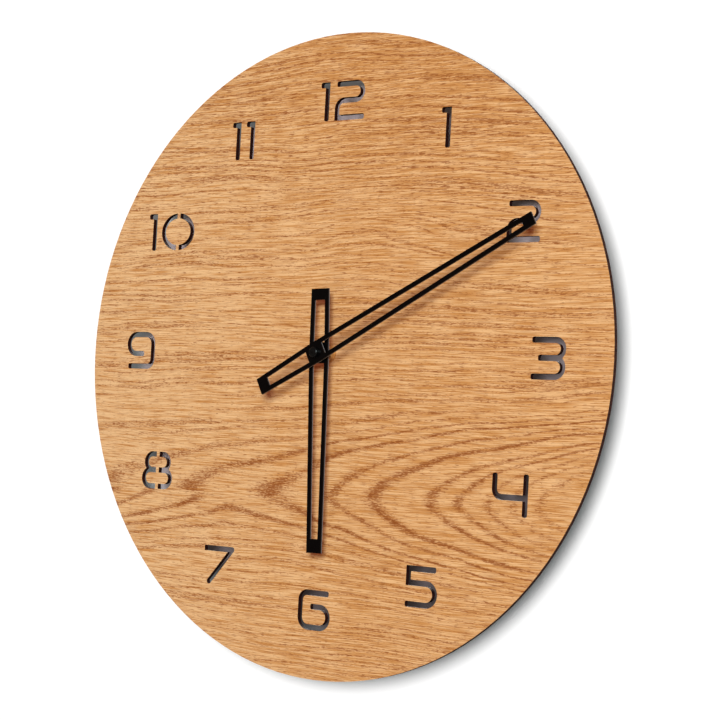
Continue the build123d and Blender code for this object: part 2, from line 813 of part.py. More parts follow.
# Stepping motor's fixed half
with BuildPart() as stator:
    stator_bottom = rotor_axis[1] - stator_half_height
    leg_top = core_axis + core_width / 2
    block(stator_left, stator_right, stator_bottom, stator_top, stator_back, stator_front)
    block(stator_left, stator_left + stator_leg, stator_top, leg_top, stator_back, stator_front)
    block(stator_right - stator_leg, stator_right, stator_top, leg_top, stator_back, stator_front)
    disc(rotor_axis, magnet_diameter / 2 + air_gap, stator_back, stator_front, Mode.SUBTRACT)
    for post in stator_posts:
        disc(post, peg_radius + slip_fit, stator_back, stator_front, Mode.SUBTRACT)

with BuildPart() as coil_core:
    core_bottom = core_axis - core_width / 2
    core_top = core_axis + core_width / 2
    block(stator_left, stator_right, core_bottom, core_top, stator_front, core_front)

bobbin_left = stator_left + stator_leg + bobbin_end_gap
bobbin_right = stator_right - stator_leg - bobbin_end_gap
coil_centre = (-core_level, core_axis)


def across(left, right, centre, radius, mode=Mode.ADD):
    """A round piece that lies from left to right, in the part being built."""
    with BuildSketch(Plane.YZ.offset(left)) as outline:
        with Locations(centre):
            Circle(radius)
    extrude(outline.sketch, amount=right - left, mode=mode)


with BuildPart() as coil_bobbin:
    across(bobbin_left, bobbin_right, coil_centre, bobbin_tube_radius)
    across(bobbin_left, bobbin_left + bobbin_flange_thickness, coil_centre, bobbin_flange_radius)
    across(bobbin_right - bobbin_flange_thickness, bobbin_right, coil_centre, bobbin_flange_radius)
    with BuildSketch(Plane.YZ.offset(bobbin_left)):
        with Locations(coil_centre):
            Rectangle(core_thickness + 2 * running_fit, core_width + 2 * running_fit)
    extrude(amount=bobbin_right - bobbin_left, mode=Mode.SUBTRACT)

with BuildPart() as coil_winding:
    winding_left = bobbin_left + bobbin_flange_thickness + slip_fit
    winding_right = bobbin_right - bobbin_flange_thickness - slip_fit
    across(winding_left, winding_right, coil_centre, winding_radius)
    across(winding_left, winding_right, coil_centre, bobbin_tube_radius + slip_fit, Mode.SUBTRACT)

# Electronics
with BuildPart() as circuit_board:
    block(circuit_left, circuit_right, circuit_bottom, circuit_top, circuit_back, circuit_front)
    for post in circuit_posts:
        disc(post, peg_radius + slip_fit, circuit_back, circuit_front, Mode.SUBTRACT)

circuit_middle = ((circuit_left + circuit_right) / 2, (circuit_bottom + circuit_top) / 2)
with BuildPart() as quartz_crystal:
    crystal_centre = (crystal_radius - circuit_back + slip_fit, circuit_bottom + circuit_post_inset)
    crystal_left = circuit_middle[0] - crystal_length / 2
    across(crystal_left, crystal_left + crystal_length, crystal_centre, crystal_radius)

with BuildPart() as chip_cover:
    disc(circuit_middle, chip_radius, circuit_back - chip_height, circuit_back)
    fillet(chip_cover.faces().sort_by(Axis.Y)[-1].edges(), chip_crown)

# Cell and its leaf contacts
battery_end = battery_length / 2
battery_centre = (-battery_level, battery_axis)
with BuildPart() as battery:
    across(-battery_end, battery_end - battery_nub_length, battery_centre, battery_radius)
    fillet(battery.edges().filter_by(GeomType.CIRCLE), battery_crimp)
    across(battery_end - battery_nub_length, battery_end, battery_centre, battery_nub_diameter / 2)

contact_front = battery_level + contact_thickness
contact_back = contact_front - contact_width
strip_inner = inner_half_width - contact_thickness


def tongue(side_sign):
    """A leaf that bows from a contact strip to the end of the cell."""
    rest = side_sign * (strip_inner + contact_thickness / 2)
    bow = side_sign * (battery_end + contact_thickness / 2 + slip_fit)
    half_span = contact_tongue_span / 2
    with BuildLine() as leaf:
        ThreePointArc(
            (rest, battery_axis - half_span), (bow, battery_axis), (rest, battery_axis + half_span)
        )
    with BuildSketch(face_on(contact_back)) as outline:
        trace(leaf.line, line_width=contact_thickness)
    extrude(outline.sketch, amount=contact_width)


strip_bottom = battery_axis - contact_tongue_span / 2 - 3 * contact_thickness
with BuildPart() as negative_contact:
    tab_middle = circuit_middle[1]
    tab_top = tab_middle + contact_width / 2
    tab_back = circuit_back - contact_thickness
    block(-inner_half_width, -strip_inner, strip_bottom, tab_top, contact_back, circuit_back)
    block(
        -inner_half_width,
        circuit_left + circuit_post_inset,
        tab_middle - contact_width / 2,
        tab_top,
        tab_back,
        circuit_back,
    )
    tongue(-1)

with BuildPart() as positive_contact:
    run_top = partition_top + contact_thickness
    run_back = circuit_front - contact_width / 2
    run_front = circuit_front + contact_thickness
    tail_left = circuit_left + circuit_post_inset - board_margin / 2
    tail_right = tail_left + board_margin
    block(strip_inner, inner_half_width, strip_bottom, run_top, contact_back, contact_front)
    block(strip_inner, inner_half_width, partition_bottom, run_top, contact_back, circuit_front)
    block(tail_left, inner_half_width, partition_top, run_top, run_back, circuit_front)
    block(tail_left, tail_right, partition_top, circuit_middle[1], circuit_front, run_front)
    tongue(1)

# Written pieces
pieces = {
    "dial_board": dial_board,
    "dial_gasket": dial_gasket,
    "dial_washer": dial_washer,
    "dial_nut": dial_nut,
    "hour_hand": hour_hand,
    "minute_hand": minute_hand,
    "hour_hand_collet": hour_hand_collet,
    "minute_hand_collet": minute_hand_collet,
    "hand_cap": hand_cap,
    "front_case": front_case,
    "rear_case": rear_case,
    "train_bridge": train_bridge,
    "bridge_screws": bridge_screws,
    "minute_arbor": minute_arbor,
    "clutch_spring": clutch_spring,
    "cannon_pinion": cannon_pinion,
    "centre_wheel": centre_wheel,
    "minute_wheel": minute_wheel,
    "hour_wheel": hour_wheel,
    "setting_arbor": setting_arbor,
    "setting_knob": setting_knob,
    "third_wheel": third_wheel,
    "seconds_wheel": seconds_wheel,
    "intermediate_wheel": intermediate_wheel,
    "rotor_pinion": rotor_pinion,
    "rotor_magnet": rotor_magnet,
    "stator": stator,
    "coil_core": coil_core,
    "coil_bobbin": coil_bobbin,
    "coil_winding": coil_winding,
    "circuit_board": circuit_board,
    "quartz_crystal": quartz_crystal,
    "chip_cover": chip_cover,
    "battery": battery,
    "negative_contact": negative_contact,
    "positive_contact": positive_contact,
}
os.makedirs("parts", exist_ok=True)
for name, piece in pieces.items():
    piece.part.label = name
    export_step(piece.part, f"parts/{name}.step")
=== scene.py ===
import json
from math import e, pi, radians
import bmesh
import bpy
from mathutils import Matrix, Vector


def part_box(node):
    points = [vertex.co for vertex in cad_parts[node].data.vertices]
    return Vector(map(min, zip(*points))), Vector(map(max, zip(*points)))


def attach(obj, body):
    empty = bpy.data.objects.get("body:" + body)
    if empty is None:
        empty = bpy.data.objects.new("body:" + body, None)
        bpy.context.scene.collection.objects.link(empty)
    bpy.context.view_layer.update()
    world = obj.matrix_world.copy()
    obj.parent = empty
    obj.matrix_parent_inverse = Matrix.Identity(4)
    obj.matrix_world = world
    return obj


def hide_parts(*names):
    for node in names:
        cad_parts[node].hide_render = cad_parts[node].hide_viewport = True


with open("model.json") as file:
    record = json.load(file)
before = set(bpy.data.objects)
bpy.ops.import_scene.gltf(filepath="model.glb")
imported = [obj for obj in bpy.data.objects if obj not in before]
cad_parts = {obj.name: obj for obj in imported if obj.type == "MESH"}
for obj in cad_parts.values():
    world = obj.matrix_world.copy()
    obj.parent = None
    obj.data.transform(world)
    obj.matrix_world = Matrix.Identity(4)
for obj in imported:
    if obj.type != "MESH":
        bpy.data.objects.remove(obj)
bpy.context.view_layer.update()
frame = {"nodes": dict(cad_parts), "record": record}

# Sizes are in metres, in the clock's own frame: X right, Z up, and the room on the -Y side.
# Lengths inside the finishes are in millimetres, because their patterns are that fine.

dial_low, dial_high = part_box("dial_board")
dial_radius = dial_high.x
dial_face = dial_low.y
millimetre = 0.001

# Where the photograph was taken from, in radii of the dial, and how
camera_right = 3.556
camera_out = 4.606
camera_drop = 0.2754
aim_right = 0.1232
aim_drop = 0.0166
camera_roll = 3.17
lens_length = 94.35
sensor_width = 36

# Studio
wall_gap = 0.0002
wall_half_width = 6
wall_top = 4
floor_level = -0.8
floor_reach = 3
cove_radius = 0.25
cove_steps = 16
level_tilt = 0.001
paper_white = (0.86, 0.86, 0.86, 1)
paper_roughness = 0.9
wall_glow = (0.080, 0.103, 0.110, 1)
room_tint = (1.0, 0.64, 0.48, 1)
room_strength = 0.18

# The piece of wall behind the dial: its radius, its tones with painted shade at the lower right, and in
# millimetres where they change
shade_radius = 0.18
shade_glow = (0.022, 0.017, 0.016, 1)
shade_rim_glow = (0.085, 0.103, 0.108, 1)
shade_rim_zone = (165, 180)
painted_shade_foot = (0.15, 0.15, 0.15, 1)
painted_shade_foot_zone = (-190, 60)
painted_shade_foot_slant = -0.45

# Lights: place, width, power in watts and tint
key_box = ((2.1, -4.0, 1.25), 2.0, 300, (0.835, 0.985, 0.985))
fill_box = ((0.0, -3.0, 0.0), 3.0, 22, (1.0, 0.13, 0.05))
wall_box = ((1.05, -4.0, 0.75), 2.9, 218, (1.0, 1.0, 1.0))
slot_box = ((1.15, -4.0, 1.0), 2.9, 195, (1.0, 0.85, 0.90))
back_box = ((-0.8, 1.8, 0.9), 1.2, 40, (1.0, 1.0, 1.0))
warmed_nodes = ("dial_board", "dial_nut", "dial_washer")
over_dial = (
    "hour_hand", "minute_hand", "hand_cap", "hour_hand_collet", "minute_hand_collet",
    "dial_nut", "dial_washer",
)

# Tilts of the surface between which a sheet's face turns into its cut edge
face_tilt = 0.75
edge_tilt = 0.45

# Oak veneer, in millimetres: arches that open to the right from an axis on the lower half of the dial
ring_axis = -87
arm_rise_above = 24
arm_rise_below = 20
arm_reach = 28
tip_round = 0.2
ring_start = 175
left_bend = -20
left_crowding = 0.5
lens_tip = -75
lens_opening = 0.9
lens_edge = 4
lens_drop = 400
ring_range = 340
ring_fade = (320, 260)
upper_lens = 82
upper_lens_middle = 25
upper_lens_length = 80
upper_lens_rise = 14
upper_lens_height = 10
slope_zone = (-20, 40)
right_slope = 0.08
dark_rings = [
    (150, 0.5, 6), (132, 0.5, 6), (115, 0.6, 6), (95, 0.85, 7), (75, 0.95, 8), (33, 1.0, 12),
    (2, 0.85, 9), (-37, 1.0, 11), (-70, 0.9, 10), (-105, 0.8, 10),
]

# Its patterns: grains along and across the board, the noise levels between which each comes in,
# how strongly it shows, and the zones in which the tone changes over the dial, with painted sheen
# towards the left and painted shade at the top
drift_grain = (130, 50)
drift_rise = 10
ripple_grain = (40, 16)
ripple_rise = 3
even_grain = (240, 2.0)
even_levels = (0.50, 0.64)
even_strength = 0.58
patch_grain = (28, 6)
patch_levels = (0.33, 0.58)
patch_least = 0.6
line_drift = 0.5
fleck_grain = (6, 0.46)
fleck_levels = (0.595, 0.645)
fleck_band_gain = 0.2
fleck_zone = (40, 150)
fleck_bias = (-0.085, -0.02)
hair_grain = (15, 0.42)
hair_levels = (0.58, 0.66)
hair_strength = 0.5
band_pore_grain = (2.4, 0.5)
band_pore_levels = (0.70, 0.82)
band_pore_gain = 0.34
band_pore_strength = 0.8
streak_grain = (22, 0.55)
streak_part = 0.65
fibre_grain = (60, 2.2)
fibre_part = 0.35
fibre_levels = (0.37, 0.63)
# Painted sheen: the face is painted lighter towards the left
painted_sheen_zone = (60, -180)
painted_sheen_lift = 0.06
# Painted shade: the face is painted darker towards the top
top_shade_zone = (90, 190)
top_shade_dip = 0.06
band_strength = 0.38
pore_strength = 0.7
pore_band_gain = 0.25
oak_roughness = 0.46
pore_roughness = 0.2
edge_roughness = 0.25
fibre_relief = 0.5
relief_depth = 0.03
relief_tilt = (0.9, 0.5)
oak_light = (0.655, 0.385, 0.182, 1)
oak_painted_sheen = (0.670, 0.420, 0.212, 1)
oak_mid = (0.465, 0.208, 0.061, 1)
oak_ring = (0.35, 0.112, 0.022, 1)
oak_pore = (0.215, 0.054, 0.007, 1)

# The board's back and its scorched edges
back_fibre_grain = (1.4, 1.1)
back_fibre_part = 0.7
back_mottle_grain = (22, 17)
back_levels = (0.36, 0.64)
back_tilt = 0.1
board_back = (0.185, 0.102, 0.053, 1)
board_back_fibre = (0.085, 0.044, 0.023, 1)
scorch_grain = (0.9, 4)
scorch_levels = (0.3, 0.7)
rim_zone = (185, 195)
rim_char_dark = (0.025, 0.0082, 0.0066, 1)
rim_char_brown = (0.074, 0.022, 0.0150, 1)
# The char in the numerals' slots is painted darker than the rim's: painted shade
slot_char_shaded_dark = (0.0115, 0.0012, 0.0006, 1)
slot_char_shaded_brown = (0.033, 0.0038, 0.0018, 1)

# Black sheet of the hands, with a painted highlight along the cut edge's back arris that starts and
# ends this far from the back
hand_haze_grain = (9, 6)
hand_cut_grain = (0.4, 3)
hand_face_dark = (0.0008, 0.0006, 0.0007, 1)
hand_face_light = (0.0017, 0.0014, 0.0016, 1)
hand_cut_dark = (0.006, 0.0055, 0.006, 1)
hand_cut_light = (0.014, 0.013, 0.014, 1)
hand_arris_highlight_dark = (0.16, 0.15, 0.16, 1)
hand_arris_highlight_light = (0.28, 0.265, 0.28, 1)
arris_highlight_start = 0.65
arris_highlight_end = 0.35

# Small pieces of the movement, in millimetres
lathe_ring = 0.08
lathe_depth = 0.004
tarnish_grain = 1.8
mottle_grain = 7
skin_depth = 0.12
rolled_line_grain = (3, 0.05, 0.05)
rolled_depth = 0.003
cloud_grain = 2.5
wire_pitch = 0.16
wire_wander = 0.15
wire_wander_grain = 1.5
wire_depth = 0.05
# Painted shade in the grooves between the wire's turns
wire_groove_shade = (0.24, 0.075, 0.025, 1)
wire_crest = (0.68, 0.27, 0.10, 1)
laminate_fibre_grain = (1.2, 0.15)
laminate_cloud_grain = (5, 5)
laminate_dark = (0.13, 0.060, 0.018, 1)
laminate_light = (0.27, 0.145, 0.050, 1)
film_flake = 0.25
film_band_edge = (12.4, 12.6)
film_blue_dark = (0.018, 0.040, 0.085, 1)
film_blue_light = (0.030, 0.062, 0.125, 1)
film_pale_dark = (0.42, 0.44, 0.46, 1)
film_pale_light = (0.55, 0.57, 0.59, 1)

# Screw thread on the bush
bush_radius = 0.004
thread_pitch = 0.00075
thread_depth = 0.0003
thread_proud = 0.00012
thread_steps = 40

# Dry cell, as parts of its own box
can_shoulder = 0.0009
can_rounding = 0.3 * can_shoulder
sleeve_thickness = 0.00012
sleeve_setback = 0.0008
nub_radius = 0.00275
nub_length = 0.0012

# Meshes made here
spin_steps = 64
sharp_angle = 35
merge_distance = 0.000001


class Finish:
    """A material in the making: one Principled shader, and short calls that add nodes to it."""

    def __init__(self, name, **sockets):
        self.material = bpy.data.materials.new(name)
        self.material.use_nodes = True
        self.tree = self.material.node_tree
        self.shader = self.tree.nodes["Principled BSDF"]
        for socket, value in sockets.items():
            self.set(socket, value)

    def set(self, socket, value):
        """Feeds one of the shader's own sockets, with the spaces in its name written as underscores."""
        self.feed(self.shader.inputs[socket.replace("_", " ")], value)

    def feed(self, socket, value):
        """Links another node's output to a socket, or sets the socket to a plain value."""
        if isinstance(value, bpy.types.NodeSocket):
            self.tree.links.new(value, socket)
        else:
            socket.default_value = value

    def node(self, kind, *inputs, **settings):
        """Adds a node with its settings, and feeds its inputs in order."""
        made = self.tree.nodes.new("ShaderNode" + kind)
        for setting, value in settings.items():
            setattr(made, setting, value)
        for socket, value in zip(made.inputs, inputs):
            self.feed(socket, value)
        return made

    def math(self, operation, *values):
        return self.node("Math", *values, operation=operation).outputs[0]

    def places(self):
        """The three Object coordinates, in millimetres."""
        coordinates = self.node("TexCoord").outputs["Object"]
        scaled = self.node("VectorMath", coordinates, operation="SCALE")
        scaled.inputs["Scale"].default_value = 1 / millimetre
        return self.node("SeparateXYZ", scaled.outputs[0]).outputs

    def from_axis(self, x, z):
        """The distance from the hands' axis."""
        return self.math("SQRT", self.math("MULTIPLY_ADD", x, x, self.math("MULTIPLY", z, z)))

    def front_back(self):
        """The Y part of the surface's direction: -1 on a sheet's front, 1 on its back."""
        return self.node("SeparateXYZ", self.node("TexCoord").outputs["Normal"]).outputs[1]

    def cut_edge(self, front_back):
        """1 on the cut edges of a sheet, and 0 on its front and back."""
        return self.smooth(self.math("ABSOLUTE", front_back), face_tilt, edge_tilt)

    def noise(self, lengths, sizes, detail=2.0, roughness=0.5):
        """Noise from 0 to 1 over two or three lengths, with grains of about these sizes."""
        parts = [self.math("DIVIDE", length, size) for length, size in zip(lengths, sizes)]
        place = self.node("CombineXYZ", *parts).outputs[0]
        made = self.node("TexNoise", place, noise_dimensions="2D" if len(parts) == 2 else "3D")
        made.inputs["Scale"].default_value = 1
        made.inputs["Detail"].default_value = detail
        made.inputs["Roughness"].default_value = roughness
        return made.outputs[0]

    def smooth(self, value, low, high, start=0.0, end=1.0):
        """Goes from start to end with eased ends as the value goes from low to high."""
        made = self.node("MapRange", value, low, high, start, end, interpolation_type="SMOOTHSTEP")
        return made.outputs[0]

    def blend(self, share, first, second):
        """A colour between two others."""
        made = self.node("Mix", share, data_type="RGBA")
        self.feed(made.inputs[6], first)
        self.feed(made.inputs[7], second)
        return made.outputs[2]

    def levels(self, value, stops):
        """A grey level read from a list of (place, level) stops between 0 and 1."""
        made = self.node("ValToRGB", value)
        made.color_ramp.interpolation = "EASE"
        elements = made.color_ramp.elements
        while len(elements) < len(stops):
            elements.new(1)
        for element, (place, level) in zip(elements, stops):
            element.position = place
            element.color = (level, level, level, 1)
        return made.outputs[0]

    def relief(self, height, depth):
        """Lets a height pattern of this depth in millimetres tilt the surface."""
        bump = self.node("Bump")
        bump.inputs["Distance"].default_value = depth * millimetre
        self.feed(bump.inputs["Height"], height)
        self.set("Normal", bump.outputs[0])


def grey(level):
    """A slightly cool grey."""
    return (level, level, 1.05 * level, 1)


def oak_rings(oak, x, height):
    """How far out in the tree each place lies: arches near the axis, even lines away from it."""
    offset = oak.math("SUBTRACT", height, ring_axis)
    above = oak.math("DIVIDE", offset, arm_rise_above)
    rise = oak.math("MAXIMUM", above, oak.math("DIVIDE", offset, -arm_rise_below))
    rounded = oak.math("SQRT", oak.math("MULTIPLY_ADD", rise, rise, tip_round * tip_round))
    reach = oak.math("MULTIPLY_ADD", oak.math("EXPONENT", rounded), arm_reach, -arm_reach)
    bend = oak.math("MINIMUM", oak.math("SUBTRACT", x, left_bend), 0.0)
    across = oak.math("MULTIPLY_ADD", bend, -left_crowding, x)
    lens_start = lens_tip - left_crowding * (lens_tip - left_bend)
    lens = oak.math("MULTIPLY_ADD", oak.math("SUBTRACT", lens_tip, x), lens_opening, lens_start)
    lens = oak.math("SUBTRACT", lens, oak.smooth(offset, -lens_edge, lens_edge, 0.0, lens_drop))
    across = oak.math("MAXIMUM", across, lens)
    return oak.math("ADD", oak.math("SUBTRACT", reach, across), ring_start)


def oak_bands(oak, x, z, rings):
    """Darker early wood: the arches one by one near the axis, and even grain elsewhere."""
    stops = [(0, 0)]
    for level, strength, half_width in dark_rings:
        for step, part in ((-half_width, 0), (0, strength), (half_width, 0)):
            stops.append(((ring_start - level + step) / ring_range, part))
    arches = oak.levels(oak.math("DIVIDE", rings, ring_range), stops)
    ring_log = oak.math("LOGARITHM", oak.math("MULTIPLY_ADD", rings, 1 / arm_reach, 1.0), e)
    level = oak.math("MULTIPLY", ring_log, arm_rise_above)
    run = oak.math("DIVIDE", oak.math("SUBTRACT", x, upper_lens_middle), upper_lens_length)
    climb = oak.math("DIVIDE", oak.math("SUBTRACT", z, upper_lens), upper_lens_rise)
    away = oak.math("ADD", oak.math("POWER", run, 2.0), oak.math("POWER", climb, 2.0))
    hill = oak.math("EXPONENT", oak.math("MULTIPLY", away, -1.0))
    level = oak.math("MULTIPLY_ADD", hill, -upper_lens_height, level)
    slope = oak.smooth(z, *slope_zone, 0.0, right_slope)
    level = oak.math("MULTIPLY_ADD", oak.math("MAXIMUM", x, 0.0), slope, level)
    even = oak.smooth(oak.noise((x, level), even_grain), *even_levels, 0.0, even_strength)
    inside = oak.smooth(rings, *ring_fade)
    bands = oak.math("MULTIPLY_ADD", oak.math("SUBTRACT", arches, even), inside, even)
    patchy = oak.smooth(oak.noise((x, z), patch_grain), *patch_levels, patch_least, 1.0)
    return oak.math("MULTIPLY", bands, patchy)


def oak_veneer():
    """Clear-lacquered oak veneer on brown fibreboard, with edges charred by the cutting."""
    oak = Finish("oak_veneer", Specular_IOR_Level=0.2)
    x, y, z = oak.places()
    drift = oak.noise((x, z), drift_grain, 1)
    drift = oak.math("MULTIPLY_ADD", drift, drift_rise, -drift_rise / 2)
    ripple = oak.noise((x, z), ripple_grain, 1)
    ripple = oak.math("MULTIPLY_ADD", ripple, ripple_rise, -ripple_rise / 2)
    height = oak.math("ADD", z, oak.math("ADD", drift, ripple))
    bands = oak_bands(oak, x, z, oak_rings(oak, x, height))

    # Pores and fibres lie along the board
    line = oak.math("MULTIPLY_ADD", drift, line_drift, z)
    density = oak.smooth(z, *fleck_zone, *fleck_bias)
    density = oak.math("MULTIPLY_ADD", bands, fleck_band_gain, density)
    flecks = oak.math("ADD", oak.noise((x, line), fleck_grain, 1), density)
    flecks = oak.smooth(flecks, *fleck_levels)
    hairs = oak.noise((x, line), hair_grain, 1, 0.4)
    hairs = oak.smooth(hairs, *hair_levels, 0.0, hair_strength)
    band_pores = oak.noise((x, line), band_pore_grain, 1)
    band_pores = oak.math("MULTIPLY_ADD", bands, band_pore_gain, band_pores)
    band_pores = oak.smooth(band_pores, *band_pore_levels, 0.0, band_pore_strength)
    pores = oak.math("MAXIMUM", oak.math("MAXIMUM", flecks, hairs), band_pores)
    streaks = oak.math("MULTIPLY", oak.noise((x, line), streak_grain, 1), streak_part)
    fibres = oak.math("MULTIPLY_ADD", oak.noise((x, line), fibre_grain), fibre_part, streaks)
    # Painted sheen makes the face lighter towards the left
    painted_sheen = oak.smooth(x, *painted_sheen_zone)
    fibres = oak.math("MULTIPLY_ADD", painted_sheen, -painted_sheen_lift, fibres)
    # Painted shade makes the face darker towards the top
    fibres = oak.math("ADD", fibres, oak.smooth(z, *top_shade_zone, 0.0, top_shade_dip))
    light_with_sheen = oak.blend(painted_sheen, oak_light, oak_painted_sheen)
    face = oak.blend(oak.smooth(fibres, *fibre_levels), light_with_sheen, oak_mid)
    face = oak.blend(oak.math("MULTIPLY", bands, band_strength), face, oak_ring)
    pore_share = oak.math("MULTIPLY_ADD", bands, pore_band_gain, pore_strength)
    face = oak.blend(oak.math("MULTIPLY", pores, pore_share), face, oak_pore)

    # The back is plain fibreboard, and the cut edges are scorched across the thickness
    front_back = oak.front_back()
    fibre = oak.noise((x, z), back_fibre_grain, 4, 0.7)
    mottle = oak.noise((x, z), back_mottle_grain, 4, 0.65)
    mixed = oak.math("MULTIPLY", fibre, back_fibre_part)
    mixed = oak.math("MULTIPLY_ADD", mottle, 1 - back_fibre_part, mixed)
    fibreboard = oak.blend(oak.smooth(mixed, *back_levels), board_back, board_back_fibre)
    sheet = oak.blend(oak.smooth(front_back, -back_tilt, back_tilt), face, fibreboard)
    edge = oak.cut_edge(front_back)
    scorch = oak.noise((oak.math("ADD", x, z), y), scorch_grain)
    scorch = oak.smooth(scorch, *scorch_levels)
    # Painted shade: the slots' char is darker than the rim's
    slot_char_with_shade = oak.blend(scorch, slot_char_shaded_dark, slot_char_shaded_brown)
    rim_char = oak.blend(scorch, rim_char_dark, rim_char_brown)
    char = oak.blend(oak.smooth(oak.from_axis(x, z), *rim_zone), slot_char_with_shade, rim_char)
    oak.set("Base_Color", oak.blend(edge, sheet, char))
    rough = oak.math("MULTIPLY_ADD", pores, pore_roughness, oak_roughness)
    oak.set("Roughness", oak.math("MULTIPLY_ADD", edge, edge_roughness, rough))
    grain = oak.math("MULTIPLY_ADD", pores, -1.0, oak.math("MULTIPLY", fibres, fibre_relief))
    oak.relief(oak.math("MULTIPLY", grain, oak.smooth(front_back, *relief_tilt)), relief_depth)
    return oak.material


def black_acrylic(hand):
    """Gloss black sheet for a hand, with a painted highlight along the back arris of its cut edge."""
    sheet = Finish(hand + "_acrylic", Specular_IOR_Level=0.13)
    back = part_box(hand)[1].y / millimetre
    x, y, z = sheet.places()
    edge = sheet.cut_edge(sheet.front_back())
    haze = sheet.noise((x, z), hand_haze_grain, 4, 0.6)
    cut = sheet.noise((sheet.math("ADD", x, z), y), hand_cut_grain)
    face = sheet.blend(haze, hand_face_dark, hand_face_light)
    side = sheet.blend(cut, hand_cut_dark, hand_cut_light)
    # Painted highlight: a pale line along the back arris of the cut edge
    arris_highlight = sheet.blend(cut, hand_arris_highlight_dark, hand_arris_highlight_light)
    side = sheet.blend(sheet.smooth(y, back - arris_highlight_start, back - arris_highlight_end), side, arris_highlight)
    sheet.set("Base_Color", sheet.blend(edge, face, side))
    gloss = sheet.math("MULTIPLY_ADD", haze, 0.1, 0.14)
    sheet.set("Roughness", sheet.math("MULTIPLY_ADD", edge, 0.35, gloss))
    return sheet.material


def turned_metal(name, bright, dull, roughness, metallic):
    """Metal turned on a lathe about the hands' axis: fine rings, and a little tarnish."""
    metal = Finish(name, Metallic=metallic, Specular_IOR_Level=0.25)
    x, y, z = metal.places()
    rings = metal.noise((metal.from_axis(x, z), y), (lathe_ring, lathe_ring), 1)
    tarnish = metal.noise((x, y, z), [tarnish_grain] * 3, 4, 0.6)
    metal.set("Base_Color", metal.blend(metal.smooth(tarnish, 0.35, 0.7), bright, dull))
    metal.set("Roughness", metal.math("MULTIPLY_ADD", rings, 0.25, roughness - 0.1))
    metal.relief(rings, lathe_depth)
    return metal.material


def moulded_plastic(name, dark, light, grain, roughness):
    """Moulded plastic with an eroded grain of this size and a slight mottle."""
    plastic = Finish(name)
    places = plastic.places()
    skin = plastic.noise(places, [grain] * 3, 3, 0.6)
    mottle = plastic.noise(places, [mottle_grain] * 3, 3, 0.6)
    mixed = plastic.math("MULTIPLY_ADD", skin, 0.5, plastic.math("MULTIPLY", mottle, 0.5))
    plastic.set("Base_Color", plastic.blend(plastic.smooth(mixed, 0.3, 0.7), dark, light))
    plastic.set("Roughness", plastic.math("MULTIPLY_ADD", skin, 0.2, roughness - 0.1))
    plastic.relief(skin, grain * skin_depth)
    return plastic.material


def rolled_steel(name, bright, dull, roughness):
    """Sheet or drawn steel, with fine lines along X and a cloudy gloss."""
    steel = Finish(name, Metallic=1.0)
    places = steel.places()
    lines = steel.noise(places, rolled_line_grain, 2)
    clouds = steel.noise(places, [cloud_grain] * 3, 3)
    steel.set("Base_Color", steel.blend(clouds, bright, dull))
    steel.set("Roughness", steel.math("MULTIPLY_ADD", lines, 0.2, roughness - 0.1))
    steel.relief(lines, rolled_depth)
    return steel.material


def enamelled_wire():
    """Copper wire wound side by side along X, under clear enamel, with painted shade in the grooves
    between turns.
    """
    wire = Finish("enamelled_wire", Metallic=1.0, Coat_Weight=0.6, Coat_Roughness=0.1)
    x, y, z = wire.places()
    wander = wire.noise((x, y, z), [wire_wander_grain] * 3)
    along = wire.math("ADD", x, wire.math("MULTIPLY", wander, wire_wander))
    turn = wire.math("SINE", wire.math("MULTIPLY", along, 2 * pi / wire_pitch))
    ridge = wire.math("MULTIPLY_ADD", turn, 0.5, 0.5)
    wire.set("Base_Color", wire.blend(ridge, wire_groove_shade, wire_crest))
    wire.set("Roughness", wire.math("MULTIPLY_ADD", ridge, -0.15, 0.42))
    wire.relief(ridge, wire_depth)
    return wire.material


def paper_laminate():
    """Brown resin-bound paper board with short fibres."""
    board = Finish("paper_laminate")
    x, _, z = board.places()
    fibre = board.noise((x, z), laminate_fibre_grain, 3, 0.6)
    cloud = board.noise((x, z), laminate_cloud_grain)
    mixed = board.math("MULTIPLY_ADD", fibre, 0.6, board.math("MULTIPLY", cloud, 0.4))
    board.set("Base_Color", board.blend(mixed, laminate_dark, laminate_light))
    board.set("Roughness", board.math("MULTIPLY_ADD", fibre, 0.2, 0.4))
    return board.material


def cell_wrap():
    """Plain printed film round the cell: grey-blue, with a pale band at the positive end."""
    film = Finish("cell_wrap", Coat_Weight=0.5, Coat_Roughness=0.12)
    x, y, z = film.places()
    band = film.smooth(x, *film_band_edge)
    flake = film.noise((x, y, z), [film_flake] * 3, 2)
    body = film.blend(flake, film_blue_dark, film_blue_light)
    light_with_sheen = film.blend(flake, film_pale_dark, film_pale_light)
    film.set("Base_Color", film.blend(band, body, light_with_sheen))
    film.set("Roughness", film.math("MULTIPLY_ADD", flake, 0.15, 0.28))
    return film.material


def linked(name, mesh, material):
    """Turns a finished mesh into an object of the scene."""
    data = bpy.data.meshes.new(name)
    mesh.to_mesh(data)
    mesh.free()
    data.materials.append(material)
    made = bpy.data.objects.new(name, data)
    bpy.context.collection.objects.link(made)
    return made


def rounded_off(made):
    """Shades an object's faces as parts of one curved surface."""
    for polygon in made.data.polygons:
        polygon.use_smooth = True


def placed(name, mesh, finish, body):
    """Turns a finished mesh into an object that rides on one of the clock's bodies."""
    bmesh.ops.remove_doubles(mesh, verts=mesh.verts, dist=merge_distance)
    bmesh.ops.recalc_face_normals(mesh, faces=mesh.faces)
    made = linked(name, mesh, finish)
    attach(made, body)
    return made


